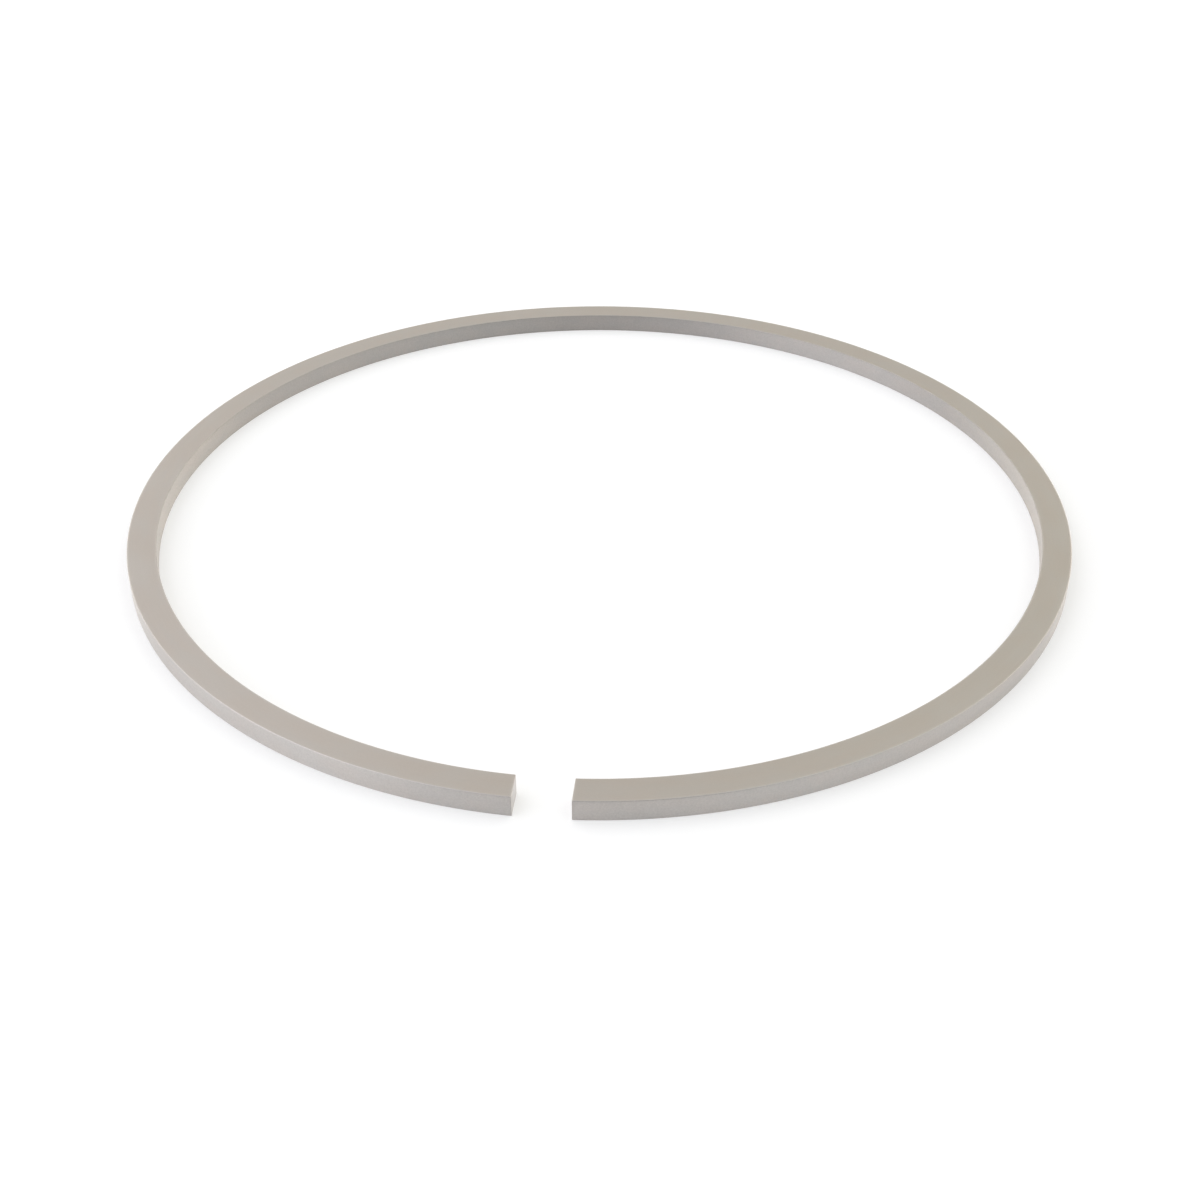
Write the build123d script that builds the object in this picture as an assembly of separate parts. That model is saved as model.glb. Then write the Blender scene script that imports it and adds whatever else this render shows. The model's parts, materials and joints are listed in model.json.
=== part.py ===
"""A snap ring for a shaft groove: one turn of flat spring-steel wire, open at a narrow end gap.

The ring lies free and unloaded on its lower face. The origin is on the ring's axis at that
face, +Z runs up along the axis, and the end gap looks towards -Y. All sizes are in millimetres.
"""

import os

from build123d import *

# The groove that the ring snaps into. The free ring is a little smaller, so that it grips.
GROOVE_FLOOR_DIAMETER = 111.0
GRIP = 1.0  # from the groove's floor to the free ring's inner wall, on the diameter

# The flat wire that the ring is coiled from.
WIRE_WIDTH = 3.5  # radial, from the inner wall to the outer wall
WIRE_THICKNESS = 2.5  # along the ring's axis, from face to face
WIRE_BEVEL = 0.15  # 45 degree bevels along the four long edges, as the die leaves them

# The two ends. One pass of a saw cuts both, so their faces are parallel and not radial.
END_GAP = 6.0  # from end face to end face
END_EDGE_RADIUS = 0.06  # all round each end face, where tumbling rounds the saw's sharp edge

INNER_RADIUS = (GROOVE_FLOOR_DIAMETER - GRIP) / 2
OUTER_RADIUS = INNER_RADIUS + WIRE_WIDTH

# The half-plane through the ring's axis and the middle of the gap: local x is the radius and
# local y the height. The turn starts and ends on it, where the saw then takes its seam away.
GAP_PLANE = Plane(origin=(0, 0, 0), x_dir=(0, -1, 0), z_dir=(-1, 0, 0))


def wire_section():
    """The wire's cross-section: a bevelled rectangle that stands on the level of the origin."""
    outline = Rectangle(WIRE_WIDTH, WIRE_THICKNESS)
    outline = chamfer(outline.vertices(), WIRE_BEVEL)
    return GAP_PLANE * Pos(INNER_RADIUS + WIRE_WIDTH / 2, WIRE_THICKNESS / 2) * outline


def saw_slot():
    """What the saw removes: a slot with parallel sides, from the axis out past the outer wall."""
    reach = 2 * OUTER_RADIUS
    return Pos(0, -reach / 2, WIRE_THICKNESS / 2) * Box(END_GAP, reach, 2 * WIRE_THICKNESS)


def snap_ring():
    """The closed turn of wire, sawn open, with the edges of its two end faces rounded over."""
    closed_turn = revolve(wire_section(), Axis.Z)
    ring = closed_turn - saw_slot()
    end_faces = ring.faces().filter_by(Axis.X)
    return fillet(end_faces.edges(), END_EDGE_RADIUS)


os.makedirs("parts", exist_ok=True)
export_step(snap_ring(), "parts/snap_ring.step")
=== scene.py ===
"""A snap ring in satin spring steel, lying on a pale studio floor.

Everything is in metres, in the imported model's frame: the ring lies on z = 0 with its axis on the
origin, and its end gap looks towards -Y.
"""

import json
import math

import bpy
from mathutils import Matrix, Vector


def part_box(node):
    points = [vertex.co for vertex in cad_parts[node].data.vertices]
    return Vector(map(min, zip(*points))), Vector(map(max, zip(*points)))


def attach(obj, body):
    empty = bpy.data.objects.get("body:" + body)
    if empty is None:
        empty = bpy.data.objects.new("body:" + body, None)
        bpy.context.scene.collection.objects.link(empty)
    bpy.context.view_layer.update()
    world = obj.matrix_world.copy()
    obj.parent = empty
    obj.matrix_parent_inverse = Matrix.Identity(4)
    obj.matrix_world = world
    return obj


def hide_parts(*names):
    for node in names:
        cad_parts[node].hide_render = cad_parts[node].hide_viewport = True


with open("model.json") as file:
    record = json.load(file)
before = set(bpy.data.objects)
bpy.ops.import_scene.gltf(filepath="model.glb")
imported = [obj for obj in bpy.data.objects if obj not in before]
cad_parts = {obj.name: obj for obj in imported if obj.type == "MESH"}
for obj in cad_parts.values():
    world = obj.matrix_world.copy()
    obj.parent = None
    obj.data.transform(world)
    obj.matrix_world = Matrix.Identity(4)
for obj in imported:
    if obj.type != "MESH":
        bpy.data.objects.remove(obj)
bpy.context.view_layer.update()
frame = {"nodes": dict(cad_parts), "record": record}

MM = 0.001
NODE = "snap_ring"

# The ring's mesh.
CORNER_RADIUS = 0.1 * MM  # the wire's four long edges
END_EDGE_RADIUS = 0.06 * MM  # all round each end face
TURN_STEPS = 720  # divisions from end to end
CORNER_STEPS = 4  # divisions of each long edge's quarter round
END_EDGE_STEPS = 4  # divisions of an end edge's quarter round
MAP_ROWS = 5  # strips that the turn is cut into on its UV map
MAP_MARGIN = 0.4 * MM  # between the strips

# The wire's steel: colours in linear light, and roughness from 0 to 1.
WARM_STEEL = (0.541, 0.507, 0.482, 1)
COOL_STEEL = (0.533, 0.508, 0.488, 1)
WORN_STEEL = (0.62, 0.59, 0.56, 1)
WORN_SHARE = 0.08  # how much of the worn steel's colour the edges take
FACE_ROUGHNESS = 0.37
WALL_ROUGHER = 0.04
INNER_WALL_ROUGHER = 0.16  # on top of that, as the coiling mandrel leaves the inner wall duller
EDGE_ROUGHER = 0.1
ROUGHNESS_VARIES = 0.06  # that far over the grain, and as far again over the mottle
FACE_STRETCH = 0.3  # how far the grain stretches reflections across the wire, from 0 to 1
WALL_STRETCH = 0.9
ACROSS_WIRE = 0.25  # the stretch's turn from round the axis, in full turns
# Painted light and painted shade: the outer wall's colour is lifted and the inner wall's darkened,
# standing in for how light falls on them.
OUTER_WALL_PAINTED_LIGHT = 0.015
INNER_WALL_PAINTED_SHADE = 0.04

# The marks on the wire. A size is one number, or one each along the wire, across it and up.
GRAIN_SIZE = (9 * MM, 0.09 * MM, 0.09 * MM)
SPECKLE_SIZE = 0.2 * MM
MOTTLE_SIZE = (5 * MM, 2 * MM, 2 * MM)
MOTTLE_CHANGE = 0.35, 0.65  # values of the mottle between which warm steel goes over into cool
WEAR_SIZE = (1.5 * MM, 0.4 * MM, 0.4 * MM)
GRAIN_TONE = 0.06  # how much brighter the grain's lightest lines are than its darkest
FACE_SPECKLE, WALL_SPECKLE = 0.06, 0.3  # the same for the speckle
GRAIN_RELIEF, SPECKLE_RELIEF = 0.6, 0.4  # their shares of the relief
RELIEF_HEIGHT = 0.01 * MM
RELIEF_STRENGTH = 0.2
WORN_TO, WORN_FROM = 0.3 * MM, 0.05 * MM  # from the edge: where its wear ends, and where it is full
WEAR_WANDERS = 0.25 * MM  # how far those two shift along the edge

# The end faces, which a saw left.
# These colours are partly the sawn steel's own and partly painted light, which lifts the end faces
# above the wire.
SAWN_WARM_PAINTED_LIGHT = (0.64, 0.605, 0.58, 1)
SAWN_COOL_PAINTED_LIGHT = (0.68, 0.65, 0.63, 1)
SAW_LINE_SIZE = (1 * MM, 0.07 * MM, 1.8 * MM)  # along X, Y and Z
SAWN_PATCH_SIZE = 0.9 * MM
SAWN_CHANGE = 0.3, 0.7  # values of the patches between which warm goes over into cool
SAWN_TONE, SAW_LINE_TONE = 0.86, 0.24  # in the darkest lines, and how much brighter the lightest are
SAWN_ROUGHNESS, SAW_LINE_ROUGHER = 0.34, 0.16
SAW_LINE_HEIGHT = 0.02 * MM
SAW_LINE_STRENGTH = 0.35

# The camera, from the ring's centre.
CAMERA_AZIMUTH = 5.61  # degrees, from -Y towards +X
CAMERA_ELEVATION = 31.18  # degrees above the floor
CAMERA_DISTANCE = 213.5 * MM
AIM_FORWARD = 19.61 * MM  # on the floor, from the ring's centre towards the camera
AIM_ASIDE = 0.08 * MM
LENS = 50.0
SENSOR = 36.0
CLIP_START, CLIP_END = 0.01, 20.0

# The studio.
FLOOR_SIZE = 8.0
FLOOR_COLOUR = (0.66, 0.66, 0.66)
FLOOR_GLOW = 0.36  # added for the eye and for reflections, so that the open floor is white
FAR_GLOW = 0.76  # the same far out, where the lamps don't reach
NEAR, FAR = 0.3, 2.0  # distances from the ring between which the one goes over into the other
BACKDROP = 1.0  # the pale wall all round the studio
WALL_FADE = 10, 25  # degrees above the floor at which the wall starts to fade into the sky, and ends
SKY = (  # soft fields of light: azimuth from the camera's, and colour at the middle
    (180, (0.22, 0.17, 0.08)),
    (-90, (1.16, 1.18, 1.29)),
    (90, (0.82, 0.87, 0.85)),
)
SKY_START, SKY_FULL = -0.2, 0.9  # cosines of the angle from a field's middle
WHITE = (1, 1, 1)
# Each lamp's name, azimuth from the camera's and elevation in degrees, distance from the ring's
# centre, width and height, radiance, and colour.
LAMPS = (
    ("overhead", 180, 85, 1.0, (1.8, 1.8), 0.655, WHITE),
    ("low_back", 180, 5, 1.0, (1.6, 0.3), 1.8, (1, 0.97, 0.91)),
    ("low_left_back", -135, 6, 1.0, (0.8, 0.3), 2.1, (1, 1, 0.92)),
    ("low_right_back", 135, 6, 1.0, (0.8, 0.3), 2.2, (1, 0.92, 0.8)),
    ("left", -72, 16, 0.5, (0.55, 0.3), 0.97, WHITE),
    ("right", 90, 20, 1.0, (0.8, 0.5), 0.4, (1, 0.8, 0.65)),
)


def ring_sizes():
    """Inner and outer radius, height and half the gap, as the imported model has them."""
    low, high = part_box(NODE)
    seats = [mount for mount in frame["record"]["mounts"] if mount["name"] == "groove_seat"]
    inner = seats[0]["dims"]["r_mm"] * MM
    points = [vertex.co for vertex in frame["nodes"][NODE].data.vertices]
    half_gap = min(abs(point.x) for point in points if point.y < 0)
    return inner, high.x, high.z - low.z, half_gap


INNER, OUTER, HEIGHT, HALF_GAP = ring_sizes()
WIDTH = OUTER - INNER
MIDDLE = (INNER + OUTER) / 2


def section_outline(inset):
    """The wire's section, shrunk by inset, as (radius, height, outward normal) for each point.

    It runs from the outer end of the underside up the outer wall, over the top and down the
    inner wall, so that its last side, back to the first point, is the underside.
    """
    outline = []
    for quarter in (-1, 0, 1, 2):
        middle = math.radians(90 * quarter + 45)
        centre_across = math.copysign(WIDTH / 2 - CORNER_RADIUS, math.cos(middle))
        centre_up = math.copysign(HEIGHT / 2 - CORNER_RADIUS, math.sin(middle))
        for step in range(CORNER_STEPS + 1):
            angle = math.radians(90 * (quarter + step / CORNER_STEPS))
            normal = (math.cos(angle), math.sin(angle))
            across = centre_across + (CORNER_RADIUS - inset) * normal[0]
            up = centre_up + (CORNER_RADIUS - inset) * normal[1]
            outline.append((MIDDLE + across, HEIGHT / 2 + up, normal))
    return outline


def end_station(side, lean):
    """One ring of points round an end's rounded edge. lean turns the edge from 0, on the wire's
    walls, to 90 degrees, on the end face. side is 1 for the end at +X and -1 for the other."""
    inset = END_EDGE_RADIUS * (1 - math.cos(lean))
    x = HALF_GAP + END_EDGE_RADIUS * (1 - math.sin(lean))
    station = []
    for radius, z, (out, up) in section_outline(inset):
        angle = math.asin(x / radius)
        wall = Vector((side * out * math.sin(angle), -out * math.cos(angle), up))
        normal = wall * math.cos(lean) - Vector((side, 0, 0)) * math.sin(lean)
        point = Vector((side * x, -radius * math.cos(angle), z))
        station.append((point, normal.normalized()))
    return station


def turn_station(share):
    """One ring of points round the wire, at a share of the turn from the end at +X."""
    station = []
    for radius, z, (out, up) in section_outline(0):
        start = math.asin((HALF_GAP + END_EDGE_RADIUS) / radius)
        angle = start + share * (2 * math.pi - 2 * start)
        radial = Vector((math.sin(angle), -math.cos(angle), 0))
        point = radial * radius + Vector((0, 0, z))
        station.append((point, radial * out + Vector((0, 0, up))))
    return station


def stations():
    """All rings of points, from the end face at +X round to the end face at -X."""
    leans = [math.radians(90 * (1 - step / END_EDGE_STEPS)) for step in range(END_EDGE_STEPS)]
    first = [end_station(1, lean) for lean in leans]
    turn = [turn_station(step / TURN_STEPS) for step in range(TURN_STEPS + 1)]
    last = [end_station(-1, lean) for lean in reversed(leans)]
    return first + turn + last


def is_end_face(polygon):
    """Only the two end faces have more than four corners."""
    return len(polygon.vertices) > 4


def outline_lengths(rings):
    """Distance round the section to each of its points, with the whole way round at the end."""
    points = [point for point, normal in rings[len(rings) // 2]]
    lengths = [0.0]
    for here, there in zip(points, points[1:] + points[:1]):
        lengths.append(lengths[-1] + (there - here).length)
    return lengths


def turn_lengths(rings):
    """Distance along the wire's middle to each ring. Their first points lie on the outer wall."""
    points = [ring[0][0] for ring in rings]
    lengths = [0.0]
    for here, there in zip(points, points[1:]):
        lengths.append(lengths[-1] + (there - here).length * MIDDLE / OUTER)
    return lengths


def strip_map(mesh, rings):
    """Lays the wire out as straight strips, one above the other, with both end faces on top."""
    round_section = outline_lengths(rings)
    along = turn_lengths(rings)
    count = len(rings[0])
    strip_length = 2 * math.pi * MIDDLE / MAP_ROWS
    strip_pitch = round_section[-1] + MAP_MARGIN
    side = strip_length + 2 * MAP_MARGIN
    layer = mesh.uv_layers.new(name="OFBake")
    for polygon in mesh.polygons:
        if is_end_face(polygon):
            place_end_face(mesh, polygon, layer, side, strip_pitch)
            continue
        step, column = divmod(polygon.index, count)
        row = min(int(MAP_ROWS * along[step] / along[-1]), MAP_ROWS - 1)
        for corner in polygon.loop_indices:
            place, point = divmod(mesh.loops[corner].vertex_index, count)
            if point == 0 and column == count - 1:
                point = count
            u = MAP_MARGIN + along[place] - row * strip_length
            v = MAP_MARGIN + row * strip_pitch + round_section[point]
            layer.data[corner].uv = (u / side, v / side)


def place_end_face(mesh, polygon, layer, side, strip_pitch):
    """An end face on the map, above the strips."""
    first = polygon.normal.x < 0
    left = MAP_MARGIN if first else 2 * MAP_MARGIN + WIDTH
    low = MAP_MARGIN + MAP_ROWS * strip_pitch
    for corner in polygon.loop_indices:
        point = mesh.vertices[mesh.loops[corner].vertex_index].co
        across = math.hypot(point.x, point.y) - INNER
        layer.data[corner].uv = ((left + across) / side, (low + point.z) / side)


def ring_body():
    """The ring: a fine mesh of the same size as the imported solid, with rounded edges."""
    rings = stations()
    count = len(rings[0])
    last = (len(rings) - 1) * count
    faces = []
    for step in range(len(rings) - 1):
        for column in range(count):
            here, beside = step * count + column, step * count + (column + 1) % count
            faces.append((here, here + count, beside + count, beside))
    faces.append(tuple(range(count)))
    faces.append(tuple(reversed(range(last, last + count))))
    mesh = bpy.data.meshes.new("ring_body")
    mesh.from_pydata([point for ring in rings for point, normal in ring], [], faces)
    mesh.materials.append(satin_steel())
    mesh.materials.append(sawn_steel())
    for polygon in mesh.polygons:
        polygon.use_smooth = True
        polygon.material_index = 1 if is_end_face(polygon) else 0
    mesh.normals_split_custom_set_from_vertices([normal for ring in rings for point, normal in ring])
    strip_map(mesh, rings)
    body = bpy.data.objects.new("ring_body", mesh)
    bpy.context.scene.collection.objects.link(body)
    return body


class Nodes:
    """Adds nodes to a node tree, with values or other nodes' outputs as their inputs."""

    def __init__(self, tree):
        self.tree = tree

    def feed(self, socket, value):
        if isinstance(value, bpy.types.NodeSocket):
            self.tree.links.new(value, socket)
        elif value is not None:
            socket.default_value = value

    def add(self, kind, settings=(), **inputs):
        node = self.tree.nodes.new("ShaderNode" + kind)
        for name, value in dict(settings).items():
            setattr(node, name, value)
        for name, value in inputs.items():
            self.feed(node.inputs[name.replace("_", " ")], value)
        return node

    def math(self, operation, first, second=None):
        node = self.add("Math", {"operation": operation})
        self.feed(node.inputs[0], first)
        self.feed(node.inputs[1], second)
        return node.outputs[0]

    def total(self, start, *parts):
        """start, with each value added times its amount."""
        for value, amount in parts:
            start = self.math("ADD", start, self.math("MULTIPLY", value, amount))
        return start

    def noise(self, vector, size, detail=2.0, roughness=0.5):
        """Noise from 0 to 1 with grains of that size in metres, or of those sizes along each axis."""
        sizes = size if isinstance(size, tuple) else (size, size, size)
        scaled = self.vector("DIVIDE", vector, sizes)
        node = self.add("TexNoise", Vector=scaled, Scale=1.0, Detail=detail, Roughness=roughness)
        return node.outputs["Fac"]

    def ramp(self, value, start, end, low=0.0, high=1.0):
        """value taken smoothly from low, at start and below, to high, at end and above."""
        node = self.add("MapRange", {"interpolation_type": "SMOOTHSTEP"}, Value=value, From_Min=start,
                        From_Max=end, To_Min=low, To_Max=high)
        return node.outputs[0]

    def mix(self, factor, first, second):
        """The colour first where factor is 0, and second where it is 1."""
        node = self.add("Mix", {"data_type": "RGBA"})
        self.feed(node.inputs[0], factor)
        self.feed(node.inputs[6], first)  # 6, 7 and output 2 are the node's sockets for colours
        self.feed(node.inputs[7], second)
        return node.outputs[2]

    def vector_math(self, operation, first, second=None):
        node = self.add("VectorMath", {"operation": operation})
        self.feed(node.inputs[0], first)
        self.feed(node.inputs[1], second)
        return node

    def vector(self, operation, first, second):
        """A vector or colour worked out from two others."""
        return self.vector_math(operation, first, second).outputs[0]

    def measure(self, operation, first, second=None):
        """A number worked out from vectors."""
        return self.vector_math(operation, first, second).outputs["Value"]

    def scale(self, colour, factor):
        node = self.vector_math("SCALE", colour)
        self.feed(node.inputs["Scale"], factor)
        return node.outputs[0]


def new_material(name):
    """A material with nothing but its shader, and the means to add nodes to it."""
    material = bpy.data.materials.new(name)
    material.use_nodes = True
    return material, Nodes(material.node_tree), material.node_tree.nodes["Principled BSDF"]


def wire_place(nodes):
    """Where a point lies on the wire as if it were straight, as a vector along it, across it and up.

    It comes with the point's plain place, and with how far across and up from the wire's middle.
    """
    place = nodes.add("SeparateXYZ", Vector=nodes.add("TexCoord").outputs["Object"]).outputs
    angle = nodes.math("ARCTAN2", place["X"], place["Y"])
    squares = nodes.math("ADD", nodes.math("POWER", place["X"], 2), nodes.math("POWER", place["Y"], 2))
    across = nodes.math("SUBTRACT", nodes.math("SQRT", squares), MIDDLE)
    up = nodes.math("SUBTRACT", place["Z"], HEIGHT / 2)
    along = nodes.math("MULTIPLY", angle, MIDDLE)
    wire = nodes.add("CombineXYZ", X=along, Y=across, Z=up).outputs[0]
    return wire, place, across, up


def edge_share(nodes, place, across, up, wear):
    """1 on the wire's edges and on those of its ends, fading to 0 a little way in from them."""
    from_side = nodes.math("SUBTRACT", WIDTH / 2, nodes.math("ABSOLUTE", across))
    from_face = nodes.math("SUBTRACT", HEIGHT / 2, nodes.math("ABSOLUTE", up))
    inward = nodes.math("MAXIMUM", from_side, from_face)
    from_end = nodes.math("SUBTRACT", nodes.math("ABSOLUTE", place["X"]), HALF_GAP)
    back_half = nodes.ramp(place["Y"], -MM, MM)
    from_end = nodes.math("ADD", from_end, back_half)  # a metre off, as no end is there
    nearest = nodes.math("MINIMUM", inward, from_end)
    wandering = nodes.total(nearest, (nodes.math("SUBTRACT", wear, 0.5), WEAR_WANDERS))
    return nodes.ramp(wandering, WORN_FROM, WORN_TO, 1.0, 0.0)


def wire_marks(nodes):
    """The steel's marks, and where its edges and walls are, each from 0 to 1."""
    wire, place, across, up = wire_place(nodes)
    wear = nodes.noise(wire, WEAR_SIZE, detail=3.0, roughness=0.6)
    wall_start = WIDTH / 2 - CORNER_RADIUS
    marks = {
        "grain": nodes.noise(wire, GRAIN_SIZE, detail=3.0, roughness=0.6),
        "speckle": nodes.noise(wire, SPECKLE_SIZE, detail=2.0, roughness=0.7),
        "mottle": nodes.noise(wire, MOTTLE_SIZE, detail=3.0),
        "edge": edge_share(nodes, place, across, up, wear),
        "outer": nodes.ramp(across, wall_start, WIDTH / 2),
        "inner": nodes.ramp(across, -wall_start, -WIDTH / 2),
    }
    marks["wall"] = nodes.math("ADD", marks["outer"], marks["inner"])
    return marks


def satin_colour(nodes, marks):
    """Warm and cool steel in turn, speckled and worn on the edges, with painted light on the outer
    wall and painted shade on the inner.
    """
    tint = nodes.mix(nodes.ramp(marks["mottle"], *MOTTLE_CHANGE), WARM_STEEL, COOL_STEEL)
    speckle = nodes.math("SUBTRACT", marks["speckle"], 0.5)
    speckle_tone = nodes.ramp(marks["wall"], 0, 1, FACE_SPECKLE, WALL_SPECKLE)
    # the outer wall's lift is painted light and the inner wall's drop is painted shade
    tone = nodes.total(1 - GRAIN_TONE / 2, (marks["grain"], GRAIN_TONE), (speckle, speckle_tone),
                       (marks["outer"], OUTER_WALL_PAINTED_LIGHT), (marks["inner"], -INNER_WALL_PAINTED_SHADE))
    worn = nodes.math("MULTIPLY", marks["edge"], WORN_SHARE)
    return nodes.mix(worn, nodes.scale(tint, tone), WORN_STEEL)


def satin_roughness(nodes, marks):
    """Rougher on the walls than on the faces, and most of all on the inner wall."""
    return nodes.total(FACE_ROUGHNESS - ROUGHNESS_VARIES, (marks["grain"], ROUGHNESS_VARIES),
                       (marks["mottle"], ROUGHNESS_VARIES), (marks["wall"], WALL_ROUGHER),
                       (marks["inner"], INNER_WALL_ROUGHER), (marks["edge"], EDGE_ROUGHER))


def satin_relief(nodes, marks):
    """The surface's fine ups and downs."""
    relief = nodes.total(0.0, (marks["grain"], GRAIN_RELIEF), (marks["speckle"], SPECKLE_RELIEF))
    bump = nodes.add("Bump", Strength=RELIEF_STRENGTH, Distance=RELIEF_HEIGHT, Height=relief)
    return bump.outputs[0]


def satin_steel():
    """Drawn and tumbled spring steel: a faint grain along the wire under an even satin."""
    material, nodes, shader = new_material("satin_steel")
    marks = wire_marks(nodes)
    shader.inputs["Metallic"].default_value = 1.0
    nodes.feed(shader.inputs["Base Color"], satin_colour(nodes, marks))
    nodes.feed(shader.inputs["Roughness"], satin_roughness(nodes, marks))
    nodes.feed(shader.inputs["Normal"], satin_relief(nodes, marks))
    stretch = nodes.total(FACE_STRETCH, (marks["wall"], WALL_STRETCH - FACE_STRETCH))
    nodes.feed(shader.inputs["Anisotropic"], stretch)
    shader.inputs["Anisotropic Rotation"].default_value = ACROSS_WIRE
    round_axis = nodes.add("Tangent", {"direction_type": "RADIAL", "axis": "Z"}).outputs[0]
    nodes.feed(shader.inputs["Tangent"], round_axis)
    return material


def sawn_steel():
    """The end faces: fine upright lines that the saw left, on steel a little brighter than the wire,
    partly as painted light.
    """
    material, nodes, shader = new_material("sawn_steel")
    place = nodes.add("TexCoord").outputs["Object"]
    lines = nodes.noise(place, SAW_LINE_SIZE, detail=3.0, roughness=0.6)
    patches = nodes.noise(place, SAWN_PATCH_SIZE)
    tint = nodes.mix(nodes.ramp(patches, *SAWN_CHANGE), SAWN_WARM_PAINTED_LIGHT, SAWN_COOL_PAINTED_LIGHT)
    colour = nodes.scale(tint, nodes.total(SAWN_TONE, (lines, SAW_LINE_TONE)))
    nodes.feed(shader.inputs["Base Color"], colour)
    nodes.feed(shader.inputs["Roughness"], nodes.total(SAWN_ROUGHNESS, (lines, SAW_LINE_ROUGHER)))
    shader.inputs["Metallic"].default_value = 1.0
    bump = nodes.add("Bump", Strength=SAW_LINE_STRENGTH, Distance=SAW_LINE_HEIGHT, Height=lines)
    nodes.feed(shader.inputs["Normal"], bump.outputs[0])
    return material


def floor_paint():
    """Matt paint, with a glow for the camera and for reflections, but not as a light."""
    material, nodes, shader = new_material("floor_paint")
    shader.inputs["Base Color"].default_value = (*FLOOR_COLOUR, 1)
    shader.inputs["Roughness"].default_value = 1.0
    shader.inputs["Specular IOR Level"].default_value = 0.0
    shader.inputs["Emission Color"].default_value = (*WHITE, 1)
    rays = nodes.add("LightPath").outputs
    seen = nodes.math("MAXIMUM", rays["Is Camera Ray"], rays["Is Glossy Ray"])
    seen = nodes.math("MAXIMUM", seen, rays["Is Transmission Ray"])
    distance = nodes.measure("LENGTH", nodes.add("TexCoord").outputs["Object"])
    glow = nodes.ramp(distance, NEAR, FAR, FLOOR_GLOW, FAR_GLOW)
    nodes.feed(shader.inputs["Emission Strength"], nodes.math("MULTIPLY", seen, glow))
    return material


def floor():
    """The plain pale floor that the ring lies on."""
    half = FLOOR_SIZE / 2
    mesh = bpy.data.meshes.new("floor")
    corners = [(-half, -half, 0), (half, -half, 0), (half, half, 0), (-half, half, 0)]
    mesh.from_pydata(corners, [], [(0, 1, 2, 3)])
    mesh.materials.append(floor_paint())
    plane = bpy.data.objects.new("floor", mesh)
    bpy.context.scene.collection.objects.link(plane)


def direction(azimuth, elevation):
    """The unit vector from the ring's centre that way. Azimuth 0 is -Y and 90 is +X."""
    turn, rise = math.radians(azimuth), math.radians(elevation)
    return Vector((math.sin(turn) * math.cos(rise), -math.cos(turn) * math.cos(rise), math.sin(rise)))


def softbox(name, azimuth, elevation, distance, size, radiance, colour):
    """A lamp that looks at the ring's centre. Size is its width and its height, distance is from
    that centre, and azimuth is measured from the camera's."""
    lamp = bpy.data.lights.new(name, "AREA")
    lamp.shape = "RECTANGLE"
    lamp.size, lamp.size_y = size
    lamp.energy = math.pi * size[0] * size[1] * radiance
    lamp.color = colour
    box = bpy.data.objects.new(name, lamp)
    box.location = direction(CAMERA_AZIMUTH + azimuth, elevation) * distance
    box.rotation_mode = "QUATERNION"
    box.rotation_quaternion = box.location.to_track_quat("Z", "Y")
    bpy.context.scene.collection.objects.link(box)


def sky():
    """The studio's even light: a pale wall all round, and above it light that is soft from behind
    and from both sides, and dark behind the camera."""
    world = bpy.data.worlds.new("studio")
    bpy.context.scene.world = world
    world.use_nodes = True
    nodes = Nodes(world.node_tree)
    way = nodes.add("TexCoord").outputs["Generated"]
    fields = []
    for azimuth, colour in SKY:
        facing = nodes.measure("DOT_PRODUCT", way, direction(CAMERA_AZIMUTH + azimuth, 0))
        fields.append(nodes.scale(colour, nodes.ramp(facing, SKY_START, SKY_FULL)))
    light = fields[0]
    for field in fields[1:]:
        light = nodes.vector("ADD", light, field)
    start, end = (math.sin(math.radians(height)) for height in WALL_FADE)
    above = nodes.ramp(nodes.add("SeparateXYZ", Vector=way).outputs["Z"], start, end)
    light = nodes.mix(above, (BACKDROP, BACKDROP, BACKDROP, 1), light)
    nodes.feed(world.node_tree.nodes["Background"].inputs["Color"], light)


def camera():
    """The main view: from above, with the gap a little to the left of the middle."""
    lens = bpy.data.cameras.new("camera")
    lens.lens = LENS
    lens.sensor_width = SENSOR
    lens.clip_start = CLIP_START
    lens.clip_end = CLIP_END
    eye = bpy.data.objects.new("camera", lens)
    toward = direction(CAMERA_AZIMUTH, 0)
    aside = direction(CAMERA_AZIMUTH + 90, 0)
    aim = toward * AIM_FORWARD + aside * AIM_ASIDE
    eye.location = direction(CAMERA_AZIMUTH, CAMERA_ELEVATION) * CAMERA_DISTANCE
    eye.rotation_mode = "QUATERNION"
    eye.rotation_quaternion = (eye.location - aim).to_track_quat("Z", "Y")
    bpy.context.scene.collection.objects.link(eye)
    bpy.context.scene.camera = eye


ring = ring_body()
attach(ring, "root")
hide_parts(NODE)
floor()
sky()
for lamp in LAMPS:
    softbox(*lamp)
camera()
bpy.context.scene.view_settings.view_transform = "Standard"
